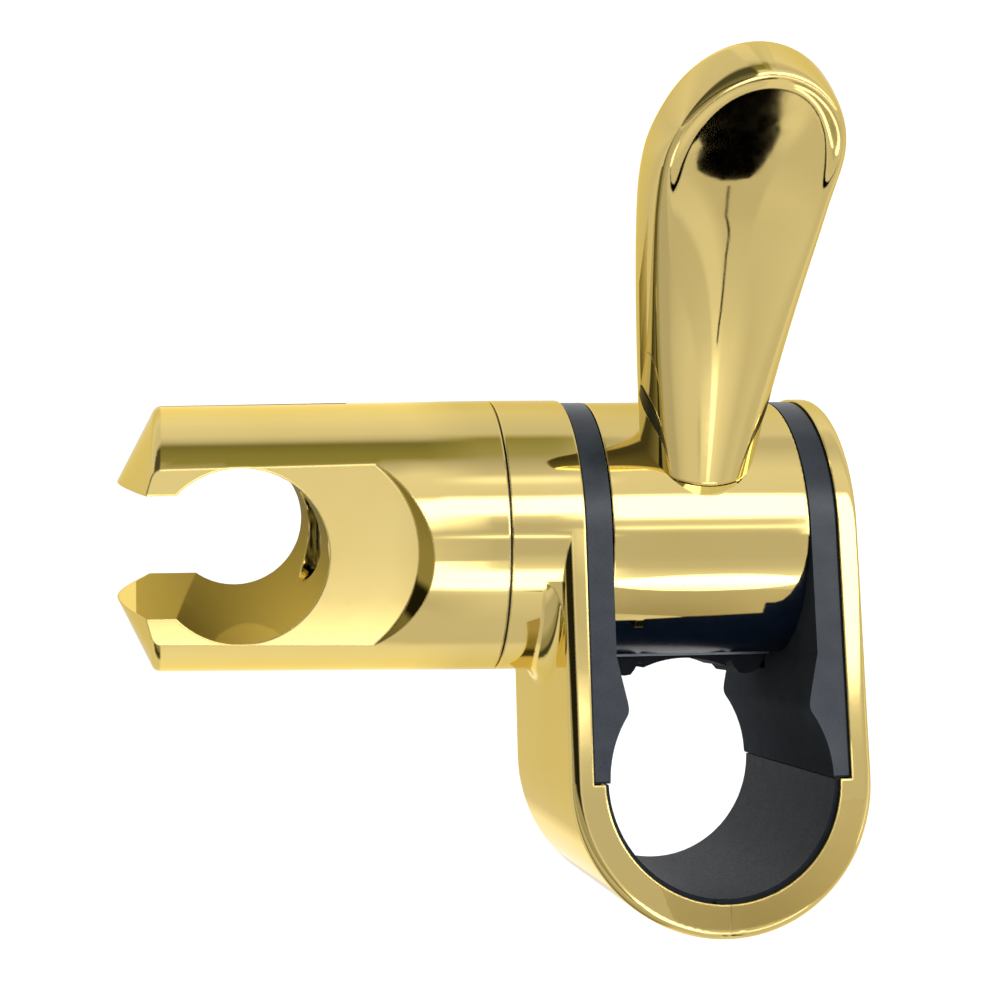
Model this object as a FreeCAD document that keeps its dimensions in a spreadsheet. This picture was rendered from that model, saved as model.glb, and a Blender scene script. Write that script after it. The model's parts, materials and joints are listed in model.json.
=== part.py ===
import FreeCAD, Part
import math
import os
from types import SimpleNamespace

import Sketcher

# Slide bar bracket for a hand shower, in millimetres.
# Origin at the centre of the rail bore, +Z up along the rail, -Y toward the user,
# +X toward the hand shower's socket. The barrel's axis runs along X, in front of the rail.

DRIVING_SIZES = [
    # rail bore and the strap round it
    ("bore_r", 12.65),
    ("liner_relief", 0.15),
    ("liner_wall", 0.5),
    ("liner_recess", 0.7),
    ("strap_wall", 3.8),
    ("arm_wall", 2.5),
    ("ledge_gap", 0.1),
    ("strap_round", 1.1),
    ("lug_place", 0.75),
    ("lug_wide", 1.7),
    # barrel
    ("barrel_r", 15.7),
    ("barrel_drop", 12.0),
    ("shell_wall", 0.7),
    ("cheek_wall", 3.1),
    ("side_gap", 0.2),
    # collar and swivel
    ("gold_step", 0.3),
    ("collar_floor_wall", 2.5),
    ("collar_deep", 5.75),
    ("bush_wall", 1.3),
    ("spigot_r", 9.9),
    ("spigot_long", 3.25),
    ("joint_gap", 0.25),
    ("blend_r", 2.2),
    # hand shower socket, with its lengths counted from the collar's end
    ("holder_tilt", 12.4),
    ("holder_r_end", 15.5),
    ("shoulder_place", 39.7),
    ("tip_place", 44.75),
    ("tip_r", 5.6),
    ("flat_height", 12.0),
    ("socket_place", 30.0),
    ("socket_r_front", 9.95),
    ("socket_r_back", 8.3),
    ("mouth_front", 6.9),
    ("mouth_back", 6.75),
    ("face_arc_r", 13.0),
    ("face_arc_place", 22.95),
    ("face_arc_draft", 1.5),
    ("screw_seat_place", 13.15),
    ("screw_well_r", 5.3),
    ("core_depth", 7.0),
    # lever
    ("lever_lean", 40.0),
    ("lever_reach", 63.1),
    ("paddle_half", 10.55),
    ("paddle_peak", 50.0),
    ("rim_r", 2.3),
    # pivot
    ("pin_r", 4.0),
    ("pin_thread_r", 3.0),
    ("insert_r", 4.5),
    ("boss_r", 7.0),
    ("running", 0.05),
    # cam and brake
    ("cam_travel", 1.6),
    ("cam_turn", 100.0),
    ("shoe_front", 3.0),
    ("shoe_back", 7.0),
    ("shoe_wall", 1.3),
    # fasteners
    ("screw_r", 2.45),
    ("screw_head_r", 4.25),
    ("screw_head", 4.6),
]

doc = FreeCAD.newDocument("slide_bar_bracket")
sheet = doc.addObject("Spreadsheet::Sheet", "Sizes")


def number(item):
    return item.value if isinstance(item, Size) else item


def text(item):
    return item.formula if isinstance(item, Size) else repr(item)


class Size:
    """A size with its formula in terms of the sheet, so that a feature can be bound to it."""

    def __init__(self, value, formula):
        self.value = value
        self.formula = formula

    def __add__(self, other):
        return Size(self.value + number(other), f"({self.formula} + {text(other)})")

    def __radd__(self, other):
        return Size(number(other) + self.value, f"({text(other)} + {self.formula})")

    def __sub__(self, other):
        return Size(self.value - number(other), f"({self.formula} - {text(other)})")

    def __rsub__(self, other):
        return Size(number(other) - self.value, f"({text(other)} - {self.formula})")

    def __mul__(self, other):
        return Size(self.value * number(other), f"({self.formula} * {text(other)})")

    __rmul__ = __mul__

    def __neg__(self):
        return Size(-self.value, f"(0 - {self.formula})")


for row, (alias, value) in enumerate(DRIVING_SIZES, start=1):
    sheet.set(f"A{row}", alias)
    sheet.set(f"B{row}", str(value))
    sheet.setAlias(f"B{row}", alias)
doc.recompute()
d = SimpleNamespace(**{alias: Size(value, f"Sizes.{alias}") for alias, value in DRIVING_SIZES})

# Sizes that follow from the driving ones.
liner_r = d.bore_r + d.liner_relief
seat_r = liner_r + d.liner_wall
strap_r = seat_r + d.strap_wall
arm_inside = strap_r - d.arm_wall
barrel_half = arm_inside - d.cheek_wall
axis_y = -(d.barrel_r + d.barrel_drop)
collar_r = d.barrel_r + d.gold_step
strap_half = collar_r
collar_floor = arm_inside + d.collar_floor_wall
collar_end = collar_floor + d.collar_deep
shell_inside = d.barrel_r - d.shell_wall
drum_r = shell_inside - d.running
cam_rest_r = drum_r - d.cam_travel
shoe_top = axis_y + cam_rest_r + d.running

# Strap: the ledges that the cheeks stop above, the collar's blend and the liner's lug.
ledge_y = 0.25
cheek_foot = ledge_y - d.ledge_gap
cheek_bevel = 0.25
foot_bevel = 0.25
nose_round = 1.6
shoulder_round = 1.2
blend_half = strap_half - d.strap_round
lug_back = strap_half - 5.0
lug_depth = seat_r + 0.95
lug_front = strap_half - 1.0
lug_step = 0.1
tab_recess = 0.3
tab_draw = 0.3
parting_place = -0.14
parting_half = 0.05
parting_deep = 0.06
clear_cut = 40.0

# Free side boss, which stops short of the cheek's inner face, and its threaded insert.
boss_recess = 0.4
boss_face = barrel_half + boss_recess
insert_skin = 0.75
insert_far = strap_r - insert_skin
insert_long = insert_far - boss_face

# Guides of the brake shoe in the cheeks, and the shoe's ears and pad.
guide_gap = 0.35
guide_depth = 0.95
guide_top = shoe_top - 0.3
guide_foot = shoe_top + d.shoe_wall + d.cam_travel + guide_gap
ear_front = -1.5
ear_back = 6.0
ear_reach = barrel_half + guide_depth - guide_gap
shoe_half = barrel_half - 1.3
pad_half = shoe_half - 0.6
pad_low = 1.8 - d.bore_r
pad_inset = 0.45
pad_gap = 0.03
pad_lobe = [(4.7, 0.0), (4.5, 1.2), (4.0, 1.5), (3.5, 0.6), (3.0, 0.0),
            (2.2, -0.12), (1.4, 0.0), (0.6, 0.5), (0.0, 1.4)]
bump_high = -(d.bore_r + 0.9)
bump_low = -(d.bore_r - 5.5)
bump_proud = 1.3

# Swivel: the socket's cuts run past its faces, and the friction ring's groove.
bush_r = d.spigot_r + d.bush_wall
face_x = collar_end + d.joint_gap
spigot_end = collar_end - d.spigot_long
shoulder_x = collar_end + d.shoulder_place
tip_x = collar_end + d.tip_place
socket_x = collar_end + d.socket_place
face_arc_x = collar_end + d.face_arc_place
screw_seat_x = collar_end + d.screw_seat_place
socket_reach = 1.4
screw_play = 0.35
core_inner_r = bush_r + 0.7
core_outer_r = collar_r - 2.3
ring_place = collar_end - 1.75
ring_groove_half = 0.7
ring_floor_r = d.spigot_r - 1.2
ring_wire_r = 0.58
washer_plate = 1.0
spring_high = 1.0
screw_under = screw_seat_x + washer_plate + spring_high
tapping_end = 6.0
pin_head = 2.2
head_corner_r = 6.4
recess_corner_r = 2.31
recess_deep = 2.5
cap_bevel = 0.4

# Lever: the shell's angles run from +Z toward -Y round the barrel's axis.
shell_start = -46.0
shell_turn = 186.0
edge_high = d.barrel_r - 5.35
edge_slope = 0.6
edge_step = 1.15
nub_high = 0.75
nub_place = 7.2
nub_wide = 1.0
notch_place = 6.7
corner_place = 7.8
corner_deep = 7.5
corner_steps = 6
tongue_half = 4.0
tongue_thick_half = 2.5
tongue_start = 11.3
tongue_play = 0.1
stem_root = 8.0
stem_flare = 0.13
stem_round = 0.905
stem_steps = 7
end_steps = 11
last_angle = 88.0
end_crowding = 0.85
side_steps = 6
side_crowding = 2.2
side_wide = 2.6
face_steps = 8
wall_from = 10.0
wall_to = 58.0
wall_root = 2.6
wall_tip = 5.8
wall_behind = 0.55
crest_root = 3.4
crest_tip = 2.5
round_root = 2.0
round_tip = 4.2
lift_root = 2.0
lift_tip = 1.4
bend_start = 45.0
bend_run = 24.4
bend_rise = 2.1
bend_low = 0.4
tip_run = 12.0
tip_rise = 1.9
front_swell = 3.7
back_swell = 3.4
swell_end = 58.0
dish_place = 51.0
dish_half = 8.7
dish_up = 10.6
dish_down = 16.0
dish_deep = 0.7

# Cam: the step and the lowest point of the drum, and its hollows.
cam_step = 286.0
cam_bottom = 270.0
spiral_steps = 12
washer_r = 7.4
washer_thick = 0.5
pocket_inner_r = washer_r + 0.9
pocket_outer_r = tongue_start - 0.8
pocket_deep = barrel_half - 3.5
pocket_turn = 70.0
pocket_count = 4


def bind(item, prop, size):
    """Set a property, and bind it to the sheet where it comes from there."""
    if isinstance(size, Size):
        item.setExpression(prop, size.formula)
    else:
        setattr(item, prop, size)


def make_body(label):
    body = doc.addObject("PartDesign::Body", label)
    body.Label = label
    return body


def origin_plane(body, role):
    return next(item for item in body.Origin.OriginFeatures if item.Role == role)


def make_sketch(body, name, role, offset=0.0, shift=0.0):
    """A sketch on one of the body's own planes, moved along the plane's normal and its x."""
    sketch = body.newObject("Sketcher::SketchObject", name)
    sketch.AttachmentSupport = [(origin_plane(body, role), "")]
    sketch.MapMode = "FlatFace"
    sketch.AttachmentOffset = FreeCAD.Placement()
    for prop, size in ((".AttachmentOffset.Base.z", offset), (".AttachmentOffset.Base.x", shift)):
        sketch.setExpression(prop, text(size))
    return sketch


def fix_point(sketch, geometry, end, across, up):
    """Place a sketch point by its two coordinates."""
    for kind, size, axis in (("DistanceX", across, -2), ("DistanceY", up, -1)):
        if number(size) == 0:
            sketch.addConstraint(Sketcher.Constraint("PointOnObject", geometry, end, axis))
            continue
        index = sketch.addConstraint(
            Sketcher.Constraint(kind, -1, 1, geometry, end, number(size)))
        if isinstance(size, Size):
            sketch.setExpression(f"Constraints[{index}]", size.formula)


def add_circle(sketch, across, up, radius):
    centre = FreeCAD.Vector(number(across), number(up), 0)
    circle = sketch.addGeometry(Part.Circle(centre, FreeCAD.Vector(0, 0, 1), number(radius)))
    fix_point(sketch, circle, 3, across, up)
    index = sketch.addConstraint(Sketcher.Constraint("Radius", circle, number(radius)))
    sketch.setExpression(f"Constraints[{index}]", text(radius))


def add_polygon(sketch, corners):
    """A closed outline of straight lines through the corners."""
    points = [FreeCAD.Vector(number(x), number(y), 0) for x, y in corners]
    count = len(points)
    first = sketch.GeometryCount
    for index in range(count):
        sketch.addGeometry(Part.LineSegment(points[index], points[(index + 1) % count]))
    for index, (x, y) in enumerate(corners):
        before = first + (index - 1) % count
        sketch.addConstraint(Sketcher.Constraint("Coincident", before, 2, first + index, 1))
        fix_point(sketch, first + index, 1, x, y)


def rectangle(x_low, x_high, y_low, y_high):
    return [(x_low, y_low), (x_high, y_low), (x_high, y_high), (x_low, y_high)]


def extrude(body, kind, name, sketch, length):
    """Add or cut along the sketch plane's normal, starting at the sketch."""
    feature = body.newObject(f"PartDesign::{kind}", name)
    feature.Profile = sketch
    feature.Reversed = kind == "Pocket"
    bind(feature, "Length", length)
    return feature


def add_block(body, name, role, start, length, corners):
    sketch = make_sketch(body, f"{name}_sketch", role, start)
    add_polygon(sketch, corners)
    return extrude(body, "Pad", name, sketch, length)


def cut_block(body, name, role, start, length, corners):
    sketch = make_sketch(body, f"{name}_sketch", role, start)
    add_polygon(sketch, corners)
    return extrude(body, "Pocket", name, sketch, length)


def add_disc(body, name, role, start, length, across, up, radius):
    sketch = make_sketch(body, f"{name}_sketch", role, start)
    add_circle(sketch, across, up, radius)
    return extrude(body, "Pad", name, sketch, length)


def cut_disc(body, name, role, start, length, across, up, radius):
    sketch = make_sketch(body, f"{name}_sketch", role, start)
    add_circle(sketch, across, up, radius)
    return extrude(body, "Pocket", name, sketch, length)


def turn(body, kind, name, role, corners, axis, offset=0.0, shift=0.0):
    """Add or cut a turned form; the sketch's own axis is the axis of the turning."""
    sketch = make_sketch(body, f"{name}_sketch", role, offset, shift)
    add_polygon(sketch, corners)
    feature = body.newObject(f"PartDesign::{kind}", name)
    feature.Profile = sketch
    feature.ReferenceAxis = (sketch, [axis])
    feature.Angle = 360.0
    return feature


def ring(body, name, start, length, inner_r, outer_r, up_y=axis_y):
    """A plain ring round the barrel's axis."""
    sketch = make_sketch(body, f"{name}_sketch", "YZ_Plane", start)
    add_circle(sketch, up_y, 0.0, outer_r)
    add_circle(sketch, up_y, 0.0, inner_r)
    return extrude(body, "Pad", name, sketch, length)


def edges_where(feature, test):
    """Names of the feature's edges that pass the test."""
    doc.recompute()
    names = []
    for index, edge in enumerate(feature.Shape.Edges, start=1):
        if test(edge):
            names.append(f"Edge{index}")
    return names


def dress(body, kind, name, feature, test, size):
    """Round or bevel the edges that pass the test."""
    names = edges_where(feature, test)
    dressed = body.newObject(f"PartDesign::{kind}", name)
    dressed.Base = (feature, names)
    bind(dressed, "Radius" if kind == "Fillet" else "Size", size)
    return dressed


def near(value, target, tolerance=0.02):
    return abs(value - target) < tolerance


def edge_points(edge):
    """Both ends and the middle of an edge."""
    low, high = edge.ParameterRange
    return [edge.valueAt(place) for place in (low, (low + high) / 2, high)]


def on_strap_outline(point):
    """True on the outer edge of the strap's front, back and round arm ends."""
    outer = strap_r.value
    if near(abs(point.z), strap_half.value):
        side = math.hypot(point.x, point.y) if point.y >= 0 else abs(point.x)
        return near(side, outer)
    from_axis = math.hypot(point.y - axis_y.value, point.z)
    return near(abs(point.x), outer) and near(from_axis, collar_r.value)


def make_main_body():
    """Gold strap round the rail, with the collar that carries the socket."""
    body = make_body("body")
    height = strap_half * 2
    arm_top = axis_y - collar_r - 1.0
    add_disc(body, "strap_end", "XY_Plane", -strap_half, height, 0, 0, strap_r)
    add_block(body, "strap_arms", "XY_Plane", -strap_half, height,
              rectangle(-strap_r, strap_r, axis_y, 0))
    outline = add_disc(body, "arm_tops", "YZ_Plane", -strap_r, strap_r * 2,
                       axis_y, 0, collar_r)
    dress(body, "Fillet", "strap_rounding", outline,
          lambda edge: all(on_strap_outline(point) for point in edge_points(edge)),
          d.strap_round)
    cut_block(body, "arm_slot", "XY_Plane", -strap_half - 1.0, height + 2.0,
              rectangle(-arm_inside, arm_inside, arm_top, ledge_y))
    cut_disc(body, "liner_seat", "XY_Plane", -strap_half - 1.0, height + 2.0, 0, 0, seat_r)
    add_collar_blend(body)
    add_disc(body, "collar", "YZ_Plane", arm_inside, collar_end - arm_inside,
             axis_y, 0, collar_r)
    cut_disc(body, "collar_bore", "YZ_Plane", collar_floor, clear_cut, axis_y, 0, bush_r)
    cut_disc(body, "pin_hole", "YZ_Plane", 0, clear_cut, axis_y, 0, d.pin_r + d.running)
    add_disc(body, "insert_boss", "YZ_Plane", -arm_inside, arm_inside - boss_face,
             axis_y, 0, d.boss_r)
    cut_disc(body, "insert_hole", "YZ_Plane", -insert_far, insert_long, axis_y, 0, d.insert_r)
    cut_block(body, "lug_slot", "XY_Plane", lug_back, lug_front - lug_back,
              rectangle(d.lug_place - d.lug_wide * 0.5, d.lug_place + d.lug_wide * 0.5,
                        d.bore_r, lug_depth))
    cut_block(body, "parting_line", "XY_Plane", strap_half - parting_deep, clear_cut,
              rectangle(parting_place - parting_half, parting_place + parting_half,
                        d.bore_r, strap_r + 1.0))
    return body


def add_collar_blend(body):
    """Hollow blend between the handset side arm and the underside of the collar."""
    wide = collar_r + d.blend_r
    far = strap_r + d.blend_r
    web = turn(body, "Revolution", "blend_web", "XZ_Plane",
               rectangle(strap_r, far, collar_r - 1.0, wide), "H_Axis",
               -axis_y)
    web.Angle = 180.0
    web.Reversed = True
    sketch = make_sketch(body, "blend_hollow_sketch", "XZ_Plane", -axis_y)
    add_circle(sketch, far, wide, d.blend_r)
    hollow = body.newObject("PartDesign::Groove", "blend_hollow")
    hollow.Profile = sketch
    hollow.ReferenceAxis = (sketch, ["H_Axis"])
    hollow.Angle = 360.0
    for side, start in ((1, blend_half), (-1, -blend_half - clear_cut)):
        cut_block(body, f"blend_end_{'front' if side > 0 else 'back'}", "XY_Plane", start,
                  clear_cut, rectangle(strap_r, far + 1.0, axis_y - 1.0, 1.0))


def make_cheek(label, side):
    """Dark plate that fills the arm beside the barrel and closes the bore's flank."""
    body = make_body(label)
    inner = barrel_half
    start = inner if side > 0 else -arm_inside
    thick = arm_inside - inner
    add_disc(body, f"{label}_disc", "YZ_Plane", start, thick, axis_y, 0, d.barrel_r)
    add_block(body, f"{label}_leg", "YZ_Plane", start, thick,
              rectangle(axis_y, cheek_foot, -d.barrel_r, d.barrel_r))
    middle = inner + d.cheek_wall * 0.8
    bump = [(middle, bump_high), (inner, bump_high), (inner - bump_proud + 0.2, bump_low - 1.4),
            (inner - bump_proud, bump_low), (inner - 0.2, cheek_foot), (middle, cheek_foot)]
    add_block(body, f"{label}_bump", "XY_Plane", -d.barrel_r, d.barrel_r * 2,
              [(x * side, y) for x, y in bump])
    cut_disc(body, f"{label}_bore", "XY_Plane", -clear_cut, clear_cut * 2, 0, 0, d.bore_r)
    groove = rectangle((inner - bump_proud - 0.4) * side, (inner + guide_depth) * side,
                       guide_top, guide_foot)
    cut_block(body, f"{label}_guide", "XY_Plane", -ear_back - guide_gap,
              ear_back + ear_front + guide_gap * 2, groove)
    cut_disc(body, f"{label}_pin_hole", "YZ_Plane", -clear_cut, clear_cut * 2, axis_y, 0,
             d.pin_r + d.running)
    last = body.Tip
    if side < 0:
        last = cut_disc(body, f"{label}_boss_hole", "YZ_Plane", -clear_cut,
                        clear_cut - boss_face + d.running, axis_y, 0,
                        d.boss_r + d.running)
    outer_x = arm_inside.value * side
    front = d.barrel_r.value

    def outside_edge(edge):
        points = edge_points(edge)
        return all(near(p.x, outer_x) for p in points) and any(
            near(abs(p.z), front) or p.y < axis_y.value - d.boss_r.value - 1 for p in points)

    def foot_edge(edge):
        return all(near(abs(p.z), front) and near(p.y, cheek_foot.value)
                   for p in edge_points(edge))

    def nose_edge(edge):
        return all(near(math.hypot(p.x, p.y), d.bore_r.value) and p.y < bump_low.value
                   for p in edge_points(edge))

    bevel = dress(body, "Chamfer", f"{label}_bevel", last, outside_edge, cheek_bevel)
    foot = dress(body, "Chamfer", f"{label}_foot_bevel", bevel, foot_edge, foot_bevel)
    dress(body, "Fillet", f"{label}_nose_rounding", foot, nose_edge, nose_round)
    return body


def make_liner():
    """Thin half ring that the rail slides on, with a lug that snaps into the strap."""
    body = make_body("bore_liner")
    half = strap_half - d.liner_recess
    sketch = make_sketch(body, "liner_ring_sketch", "XY_Plane", -half)
    add_circle(sketch, 0, 0, seat_r)
    add_circle(sketch, 0, 0, liner_r)
    extrude(body, "Pad", "liner_ring", sketch, half * 2)
    cut_block(body, "liner_open_side", "XY_Plane", -clear_cut, clear_cut * 2,
              rectangle(-clear_cut, clear_cut, -clear_cut, ledge_y + d.running))
    left = d.lug_place - d.lug_wide * 0.5 + d.running
    right = d.lug_place + d.lug_wide * 0.5 - d.running
    add_block(body, "liner_lug", "XY_Plane", lug_back + d.running,
              lug_front - lug_back - 2 * d.running,
              rectangle(left, right, liner_r + lug_step, lug_depth - d.running))
    add_block(body, "liner_tab", "XY_Plane", half - 1.0, strap_half - tab_recess - half + 1.0,
              [(left, liner_r + lug_step), (right, liner_r + lug_step),
               (right - tab_draw, seat_r - lug_step), (left + tab_draw, seat_r - lug_step)])
    return body


def make_holder():
    """Gold socket for the hand shower, modelled level and then tilted about the barrel."""
    body = make_body("handset_holder")
    form = turn(body, "Revolution", "holder_form", "XZ_Plane",
                [(face_x, 0), (face_x, collar_r), (shoulder_x, d.holder_r_end),
                 (tip_x, d.tip_r), (tip_x, 0)], "H_Axis")

    def shoulder_edge(edge):
        return all(near(p.x, shoulder_x.value)
                   and near(math.hypot(p.y, p.z), d.holder_r_end.value)
                   for p in edge_points(edge))

    dress(body, "Fillet", "shoulder_rounding", form, shoulder_edge, shoulder_round)
    add_disc(body, "spigot", "YZ_Plane", spigot_end, face_x - spigot_end, 0, 0, d.spigot_r)
    slope = (d.socket_r_front - d.socket_r_back) * 0.5
    middle = (d.socket_r_front + d.socket_r_back) * 0.5
    reach = d.flat_height * socket_reach
    turn(body, "Groove", "socket_taper", "XZ_Plane",
         [(0, -reach), (middle - slope * socket_reach, -reach),
          (middle + slope * socket_reach, reach), (0, reach)],
         "V_Axis", 0.0, socket_x)
    for side, word in ((1, "front"), (-1, "back")):
        low = d.flat_height * side
        high = (collar_r + 1.0) * side
        draft = d.face_arc_draft
        turn(body, "Groove", f"{word}_face_arc", "XZ_Plane",
             [(0, low), (d.face_arc_r, low), (d.face_arc_r + draft, high), (0, high)],
             "V_Axis", 0.0, face_arc_x)
        start = d.flat_height if side > 0 else -d.flat_height - clear_cut
        cut_block(body, f"{word}_flat", "XY_Plane", start, clear_cut,
                  rectangle(face_arc_x, tip_x + 1.0, -clear_cut, clear_cut))
    over = d.flat_height + 1.0
    cut_block(body, "mouth", "YZ_Plane", socket_x, clear_cut,
              [(-d.mouth_back, -over), (d.mouth_back, -over),
               (d.mouth_back, -d.flat_height), (d.mouth_front, d.flat_height),
               (d.mouth_front, over), (-d.mouth_front, over),
               (-d.mouth_front, d.flat_height), (-d.mouth_back, -d.flat_height)])
    cut_disc(body, "screw_well", "YZ_Plane", screw_seat_x, socket_x - screw_seat_x,
             0, 0, d.screw_well_r)
    cut_disc(body, "screw_hole", "YZ_Plane", 0, clear_cut, 0, 0, d.screw_r + screw_play)
    core = make_sketch(body, "weight_saving_core_sketch", "YZ_Plane", 0)
    add_circle(core, 0, 0, core_inner_r)
    add_circle(core, 0, 0, core_outer_r)
    extrude(body, "Pocket", "weight_saving_core", core, face_x + d.core_depth)
    turn(body, "Groove", "ring_groove", "XZ_Plane",
         rectangle(ring_place - ring_groove_half, ring_place + ring_groove_half,
                   ring_floor_r, d.spigot_r + 1.0), "H_Axis")
    tilt_to_user(body)
    return body


def tilt_to_user(item):
    """Set a piece of the swivel on the barrel's axis and tilt it as in the picture."""
    item.Placement = FreeCAD.Placement(
        FreeCAD.Vector(0, axis_y.value, 0),
        FreeCAD.Rotation(FreeCAD.Vector(1, 0, 0), -d.holder_tilt.value))
    item.setExpression(".Placement.Base.y", axis_y.formula)
    item.setExpression(".Placement.Rotation.Angle", f"{d.holder_tilt.formula} * 1 deg")
    item.setExpression(".Placement.Rotation.Axis.x", "-1")


def stem_point(across, out, along):
    """A point in the lever's own directions: across, out of its face, along its stem."""
    lean = math.radians(d.lever_lean.value)
    return FreeCAD.Vector(across,
                          out * math.sin(lean) - along * math.cos(lean),
                          out * math.cos(lean) + along * math.sin(lean))


def half_width(along):
    """Half the paddle's width: a stem that widens, then a round end."""
    peak, half, reach = d.paddle_peak.value, d.paddle_half.value, d.lever_reach.value
    if along > peak:
        return half * math.sqrt(max(0.0, 1 - ((along - peak) / (reach - peak)) ** 2))
    return half - (math.hypot(stem_round, stem_flare * (peak - along)) - stem_round)


def middle_line(along):
    """Height of the stem's middle above its straight axis: a slight spoon bend."""
    if along < bend_start:
        return bend_rise * ((bend_start - along) / bend_run) ** 2 - bend_low
    share = min(1.0, (along - bend_start) / tip_run)
    return tip_rise * share * share * (3 - 2 * share) - bend_low


def wall_share(along):
    """0 at the stem's root and 1 at the paddle, where the side wall is highest."""
    return min(1.0, max(0.0, (along - wall_from) / (wall_to - wall_from)))


def wall_high(along):
    return wall_root + (wall_tip - wall_root) * wall_share(along)


def widest_line(along):
    """Height of the widest line: the side wall stands partly behind the stem's middle."""
    return middle_line(along) - wall_behind * (wall_high(along) - d.rim_r.value)


def edge_distance(across, along):
    """How far a place on the paddle is inside its outline."""
    peak, half, reach = d.paddle_peak.value, d.paddle_half.value, d.lever_reach.value
    if along <= peak:
        return half_width(along) - abs(across)
    ratio = math.hypot(across / half, (along - peak) / (reach - peak))
    return (1 - ratio) * math.hypot(across, along - peak) / ratio


def wall_rise(across, along):
    """Side wall that stands almost square to the face, then the rounding of its crest."""
    share = wall_share(along)
    wide = crest_root + (crest_tip - crest_root) * share
    power = round_root + (round_tip - round_root) * share
    lift = lift_root + (lift_tip - lift_root) * share
    inside = min(max(edge_distance(across, along) / wide, 0.0), 1.0)
    return wall_high(along) * (1 - (1 - inside) ** power) ** (1 / lift)


def back_rise(across, along):
    """Quarter round along the edge of the back."""
    rim = d.rim_r.value
    inside = min(max(edge_distance(across, along) / rim, 0.0), 1.0)
    return rim * math.sqrt(1 - (1 - inside) ** 2)


def swell(across, along, root, end):
    """Rounded body of the stem, which fades toward the paddle."""
    share = min(1.0, max(0.0, (along - stem_root) / (end - stem_root)))
    fade = 1 - share * share * (3 - 2 * share)
    wide = max(half_width(along), 0.01)
    return root * fade * (1 - (across / wide) ** 2)


def thumb_dish(across, along):
    """Depth of the shallow hollow for the thumb, an egg shape near the paddle's end."""
    length = dish_up if along > dish_place else dish_down
    ratio = (across / dish_half) ** 2 + ((along - dish_place) / length) ** 2
    left = max(0.0, 1 - ratio)
    return dish_deep * (left if along > dish_place else left * left)


def front_height(across, along):
    return (widest_line(along) + wall_rise(across, along)
            + swell(across, along, front_swell, swell_end) - thumb_dish(across, along))


def back_height(across, along):
    return (widest_line(along) - back_rise(across, along)
            - swell(across, along, back_swell, d.lever_reach.value))


def across_places(wide):
    """Places from one edge to the other, closer together over the wall and its crest."""
    rim = min(side_wide, wide / 2)
    inner = wide - rim
    side = [wide - rim * (step / side_steps) ** side_crowding for step in range(side_steps)]
    face = [inner * (1 - 2 * step / face_steps) for step in range(face_steps + 1)]
    return side + face + [-place for place in reversed(side)]


def paddle_section(along):
    """Closed smooth outline of the lever at one place along its stem."""
    line = across_places(half_width(along))
    points = [stem_point(x, front_height(x, along), along) for x in line]
    points += [stem_point(x, back_height(x, along), along) for x in reversed(line[1:-1])]
    curve = Part.BSplineCurve()
    curve.interpolate(Points=points, PeriodicFlag=True)
    return Part.Wire([curve.toShape()])


def paddle_places():
    """Places of the sections: even along the stem, closer toward the round end."""
    peak, reach = d.paddle_peak.value, d.lever_reach.value
    stem = [stem_root + (peak - stem_root) * step / stem_steps for step in range(stem_steps)]
    turned = [math.radians(last_angle * (step / end_steps) ** end_crowding)
              for step in range(end_steps + 1)]
    return stem + [peak + (reach - peak) * math.sin(angle) for angle in turned]


def barrel_cylinder(name, radius, length, start=0.0, first_angle=0.0, angle=360.0):
    """A cylinder along X round the lever's own axis; angles run from +Z toward -Y."""
    item = doc.addObject("Part::Cylinder", name)
    bind(item, "Radius", radius)
    bind(item, "Height", length)
    item.Angle = angle
    turned = math.radians(first_angle)
    first = FreeCAD.Vector(0, -math.sin(turned), math.cos(turned))
    along = FreeCAD.Vector(1, 0, 0)
    item.Placement = FreeCAD.Placement(
        FreeCAD.Vector(number(start), 0, 0),
        FreeCAD.Rotation(first, along.cross(first), along, "ZXY"))
    item.setExpression(".Placement.Base.x", text(start))
    return item


def stem_box(name, across_half, out_half, start, end):
    """A box along the lever's stem."""
    item = doc.addObject("Part::Box", name)
    bind(item, "Length", across_half * 2)
    bind(item, "Width", out_half * 2)
    bind(item, "Height", end - start)
    corner = stem_point(-number(across_half), -number(out_half), number(start))
    item.Placement = FreeCAD.Placement(
        corner, FreeCAD.Rotation(stem_point(1, 0, 0), stem_point(0, 1, 0),
                                 stem_point(0, 0, 1), "ZXY"))
    return item


def join(kind, name, base, tool):
    item = doc.addObject(f"Part::{kind}", name)
    item.Base = base
    item.Tool = tool
    return item


def shell_edge_tool():
    """Prism that cuts the shell's lower edge: a nub, a step, then a round corner."""
    sketch = doc.addObject("Sketcher::SketchObject", "shell_edge_sketch")
    side = barrel_half + 1.5
    slope_end = edge_high - edge_slope
    step_end = slope_end - edge_step
    corner_x = side - 1.8 - corner_place
    corner = [(corner_place, step_end)]
    for step in range(1, corner_steps + 1):
        turned = math.pi / 2 * step / corner_steps
        corner.append((corner_place + corner_x * math.sin(turned),
                       step_end - corner_deep * (1 - math.cos(turned))))
    corners = [(side, edge_high), (nub_place + nub_wide, edge_high),
               (nub_place + nub_wide, edge_high + nub_high), (nub_place, edge_high + nub_high),
               (nub_place, edge_high - 0.1), (-notch_place, slope_end), (-notch_place, step_end)]
    corners += [(-x, y) for x, y in corner]
    foot = corners[-1][1]
    corners += [(-side, foot), (-side, d.barrel_r + 4.0), (side, d.barrel_r + 4.0)]
    add_polygon(sketch, corners)
    prism = doc.addObject("Part::Extrusion", "shell_edge_prism")
    prism.Base = sketch
    prism.DirMode = "Custom"
    prism.Dir = FreeCAD.Vector(0, 0, 1)
    bind(prism, "LengthFwd", d.barrel_r + 2.0)
    prism.Solid = True
    return prism


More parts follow.
